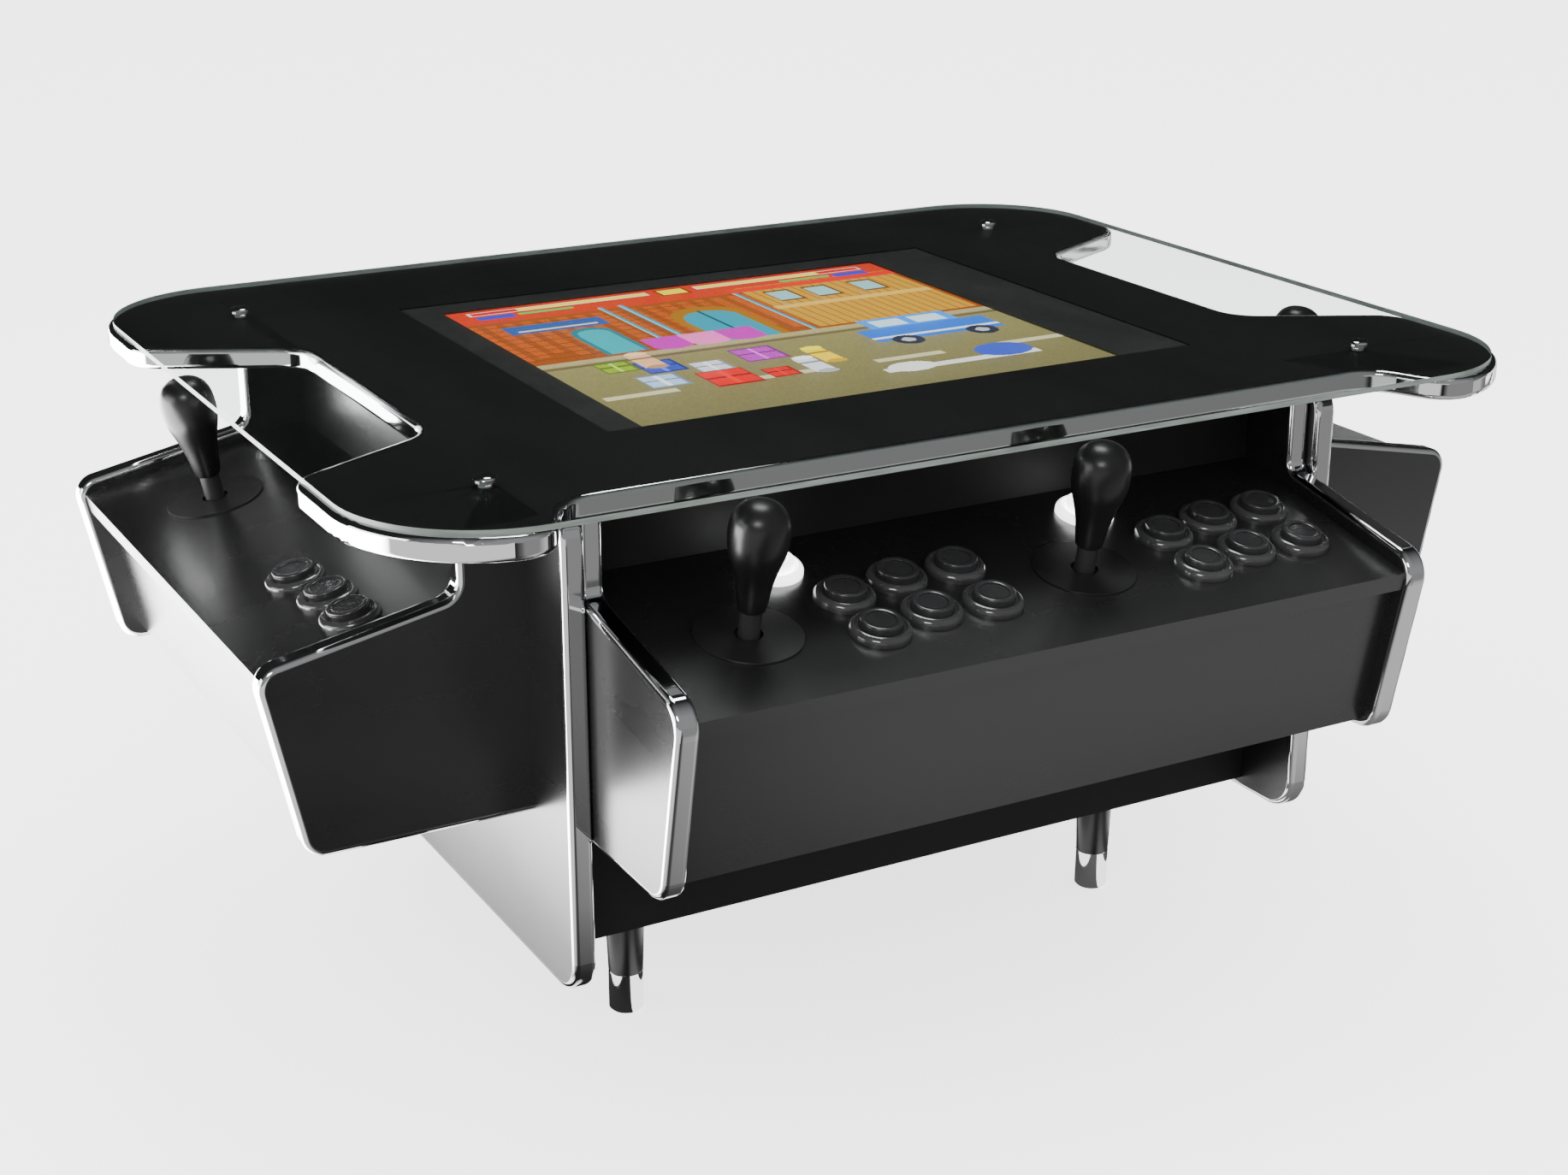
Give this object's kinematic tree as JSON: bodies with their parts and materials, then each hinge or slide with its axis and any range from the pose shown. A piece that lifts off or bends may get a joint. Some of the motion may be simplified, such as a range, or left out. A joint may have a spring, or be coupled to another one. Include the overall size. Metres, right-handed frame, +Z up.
{
  "type": "cocktail table cabinet",
  "caption": "Low glass-topped arcade cocktail table with a flat monitor, sloped control boxes on the front and both ends, bat joysticks, push buttons and short tapered legs.",
  "frame": {"origin": "centre of the footprint, on the floor", "axes": "+Z up, -Y towards the front control box, X along the tabletop's long side"},
  "size_m": [0.8886, 0.6822, 0.421],
  "materials": {
    "clear_glass": "polished, clear",
    "chrome_cap": "polished",
    "black_laminate": "satin to gloss black laminate",
    "chrome_edge": "polished plastic edge molding, metallised",
    "bezel_plastic": "satin",
    "lit_screen": "lit display",
    "steel_sheet": "zinc plated",
    "washer_plastic": "fine satin",
    "button_bezel": "gloss",
    "button_plunger": "gloss",
    "lit_plunger": "translucent white, lit",
    "lit_bezel": "translucent white, lit",
    "nut_plastic": "moulded",
    "switch_plastic": "moulded",
    "base_plastic": "moulded",
    "leg_lacquer": "black lacquer",
    "chrome_ferrule": "polished",
    "supply_steel": "pressed steel",
    "circuit_board": "solder mask",
    "gimbal_steel": "machined",
    "shaft_steel": "black sleeve on a steel rod",
    "handle_plastic": "polished black"
  },
  "bodies": {
    "cabinet": {"glass_top": "clear_glass", "glass_screws": "chrome_cap", "tabletop_board": "black_laminate", "tabletop_molding": "chrome_edge", "monitor_bezel": "bezel_plastic", "lcd_panel": "lit_screen", "monitor_chassis": "steel_sheet", "monitor_straps": "steel_sheet", "side_boards": "black_laminate", "front_wall": "black_laminate", "back_panel": "black_laminate", "floor_board": "black_laminate", "plate_molding": "chrome_edge", "box_side_plates": "black_laminate", "front_box_panel": "black_laminate", "end_box_panels": "black_laminate", "box_boards": "black_laminate", "dust_washers": "washer_plastic", "button_housings": "button_bezel", "start_button_housings": "lit_bezel", "button_nuts": "nut_plastic", "microswitches": "switch_plastic", "joystick_bases": "base_plastic", "legs": "leg_lacquer", "leg_ferrules": "chrome_ferrule", "leg_plates": "steel_sheet", "power_supply": "supply_steel", "game_board": "circuit_board"},
    "press_p1_1": {"button_p1_1": "button_plunger"},
    "press_p1_2": {"button_p1_2": "button_plunger"},
    "press_p1_3": {"button_p1_3": "button_plunger"},
    "press_p1_4": {"button_p1_4": "button_plunger"},
    "press_p1_5": {"button_p1_5": "button_plunger"},
    "press_p1_6": {"button_p1_6": "button_plunger"},
    "press_p2_1": {"button_p2_1": "button_plunger"},
    "press_p2_2": {"button_p2_2": "button_plunger"},
    "press_p2_3": {"button_p2_3": "button_plunger"},
    "press_p2_4": {"button_p2_4": "button_plunger"},
    "press_p2_5": {"button_p2_5": "button_plunger"},
    "press_p2_6": {"button_p2_6": "button_plunger"},
    "press_p3_1": {"button_p3_1": "button_plunger"},
    "press_p3_2": {"button_p3_2": "button_plunger"},
    "press_p3_3": {"button_p3_3": "button_plunger"},
    "press_p4_1": {"button_p4_1": "button_plunger"},
    "press_p4_2": {"button_p4_2": "button_plunger"},
    "press_p4_3": {"button_p4_3": "button_plunger"},
    "press_p1_start": {"button_p1_start": "lit_plunger"},
    "press_p2_start": {"button_p2_start": "lit_plunger"},
    "tilt_p1": {"gimbal_p1": "gimbal_steel"},
    "stick_p1": {"shaft_p1": "shaft_steel", "handle_p1": "handle_plastic"},
    "tilt_p2": {"gimbal_p2": "gimbal_steel"},
    "stick_p2": {"shaft_p2": "shaft_steel", "handle_p2": "handle_plastic"},
    "tilt_p3": {"gimbal_p3": "gimbal_steel"},
    "stick_p3": {"shaft_p3": "shaft_steel", "handle_p3": "handle_plastic"},
    "tilt_p4": {"gimbal_p4": "gimbal_steel"},
    "stick_p4": {"shaft_p4": "shaft_steel", "handle_p4": "handle_plastic"}
  },
  "joints": [
    {"name": "press_p1_1", "type": "slide", "parent": "cabinet", "child": "press_p1_1", "axis": [0, 0.1994, -0.9799], "range_m": [0, 0.003], "stiffness_N_per_m": 350, "springref_m": -0.002},
    {"name": "press_p1_2", "type": "slide", "parent": "cabinet", "child": "press_p1_2", "axis": [0, 0.1994, -0.9799], "range_m": [0, 0.003], "stiffness_N_per_m": 350, "springref_m": -0.002},
    {"name": "press_p1_3", "type": "slide", "parent": "cabinet", "child": "press_p1_3", "axis": [0, 0.1994, -0.9799], "range_m": [0, 0.003], "stiffness_N_per_m": 350, "springref_m": -0.002},
    {"name": "press_p1_4", "type": "slide", "parent": "cabinet", "child": "press_p1_4", "axis": [0, 0.1994, -0.9799], "range_m": [0, 0.003], "stiffness_N_per_m": 350, "springref_m": -0.002},
    {"name": "press_p1_5", "type": "slide", "parent": "cabinet", "child": "press_p1_5", "axis": [0, 0.1994, -0.9799], "range_m": [0, 0.003], "stiffness_N_per_m": 350, "springref_m": -0.002},
    {"name": "press_p1_6", "type": "slide", "parent": "cabinet", "child": "press_p1_6", "axis": [0, 0.1994, -0.9799], "range_m": [0, 0.003], "stiffness_N_per_m": 350, "springref_m": -0.002},
    {"name": "press_p2_1", "type": "slide", "parent": "cabinet", "child": "press_p2_1", "axis": [0, 0.1994, -0.9799], "range_m": [0, 0.003], "stiffness_N_per_m": 350, "springref_m": -0.002},
    {"name": "press_p2_2", "type": "slide", "parent": "cabinet", "child": "press_p2_2", "axis": [0, 0.1994, -0.9799], "range_m": [0, 0.003], "stiffness_N_per_m": 350, "springref_m": -0.002},
    {"name": "press_p2_3", "type": "slide", "parent": "cabinet", "child": "press_p2_3", "axis": [0, 0.1994, -0.9799], "range_m": [0, 0.003], "stiffness_N_per_m": 350, "springref_m": -0.002},
    {"name": "press_p2_4", "type": "slide", "parent": "cabinet", "child": "press_p2_4", "axis": [0, 0.1994, -0.9799], "range_m": [0, 0.003], "stiffness_N_per_m": 350, "springref_m": -0.002},
    {"name": "press_p2_5", "type": "slide", "parent": "cabinet", "child": "press_p2_5", "axis": [0, 0.1994, -0.9799], "range_m": [0, 0.003], "stiffness_N_per_m": 350, "springref_m": -0.002},
    {"name": "press_p2_6", "type": "slide", "parent": "cabinet", "child": "press_p2_6", "axis": [0, 0.1994, -0.9799], "range_m": [0, 0.003], "stiffness_N_per_m": 350, "springref_m": -0.002},
    {"name": "press_p3_1", "type": "slide", "parent": "cabinet", "child": "press_p3_1", "axis": [0.1994, 0, -0.9799], "range_m": [0, 0.003], "stiffness_N_per_m": 350, "springref_m": -0.002},
    {"name": "press_p3_2", "type": "slide", "parent": "cabinet", "child": "press_p3_2", "axis": [0.1994, 0, -0.9799], "range_m": [0, 0.003], "stiffness_N_per_m": 350, "springref_m": -0.002},
    {"name": "press_p3_3", "type": "slide", "parent": "cabinet", "child": "press_p3_3", "axis": [0.1994, 0, -0.9799], "range_m": [0, 0.003], "stiffness_N_per_m": 350, "springref_m": -0.002},
    {"name": "press_p4_1", "type": "slide", "parent": "cabinet", "child": "press_p4_1", "axis": [-0.1994, 0, -0.9799], "range_m": [0, 0.003], "stiffness_N_per_m": 350, "springref_m": -0.002},
    {"name": "press_p4_2", "type": "slide", "parent": "cabinet", "child": "press_p4_2", "axis": [-0.1994, 0, -0.9799], "range_m": [0, 0.003], "stiffness_N_per_m": 350, "springref_m": -0.002},
    {"name": "press_p4_3", "type": "slide", "parent": "cabinet", "child": "press_p4_3", "axis": [-0.1994, 0, -0.9799], "range_m": [0, 0.003], "stiffness_N_per_m": 350, "springref_m": -0.002},
    {"name": "press_p1_start", "type": "slide", "parent": "cabinet", "child": "press_p1_start", "axis": [0, 0.1994, -0.9799], "range_m": [0, 0.003], "stiffness_N_per_m": 350, "springref_m": -0.002},
    {"name": "press_p2_start", "type": "slide", "parent": "cabinet", "child": "press_p2_start", "axis": [0, 0.1994, -0.9799], "range_m": [0, 0.003], "stiffness_N_per_m": 350, "springref_m": -0.002},
    {"name": "tilt_p1", "type": "hinge", "parent": "cabinet", "child": "tilt_p1", "pos_m": [-0.1825, -0.26545, 0.31599], "axis": [1, 0, 0], "range_deg": [-8, 8], "stiffness_Nm_per_rad": 1.2},
    {"name": "lean_p1", "type": "hinge", "parent": "tilt_p1", "child": "stick_p1", "pos_m": [-0.1825, -0.26545, 0.31599], "axis": [0, 0.9799, 0.1994], "range_deg": [-8, 8], "stiffness_Nm_per_rad": 1.2},
    {"name": "tilt_p2", "type": "hinge", "parent": "cabinet", "child": "tilt_p2", "pos_m": [0.0526, -0.26545, 0.31599], "axis": [1, 0, 0], "range_deg": [-8, 8], "stiffness_Nm_per_rad": 1.2},
    {"name": "lean_p2", "type": "hinge", "parent": "tilt_p2", "child": "stick_p2", "pos_m": [0.0526, -0.26545, 0.31599], "axis": [0, 0.9799, 0.1994], "range_deg": [-8, 8], "stiffness_Nm_per_rad": 1.2},
    {"name": "tilt_p3", "type": "hinge", "parent": "cabinet", "child": "tilt_p3", "pos_m": [-0.37279, 0.14095, 0.31391], "axis": [0, -1, 0], "range_deg": [-8, 8], "stiffness_Nm_per_rad": 1.2},
    {"name": "lean_p3", "type": "hinge", "parent": "tilt_p3", "child": "stick_p3", "pos_m": [-0.37279, 0.14095, 0.31391], "axis": [0.9799, 0, 0.1994], "range_deg": [-8, 8], "stiffness_Nm_per_rad": 1.2},
    {"name": "tilt_p4", "type": "hinge", "parent": "cabinet", "child": "tilt_p4", "pos_m": [0.37279, -0.05865, 0.31391], "axis": [0, 1, 0], "range_deg": [-8, 8], "stiffness_Nm_per_rad": 1.2},
    {"name": "lean_p4", "type": "hinge", "parent": "tilt_p4", "child": "stick_p4", "pos_m": [0.37279, -0.05865, 0.31391], "axis": [-0.9799, 0, 0.1994], "range_deg": [-8, 8], "stiffness_Nm_per_rad": 1.2}
  ]
}
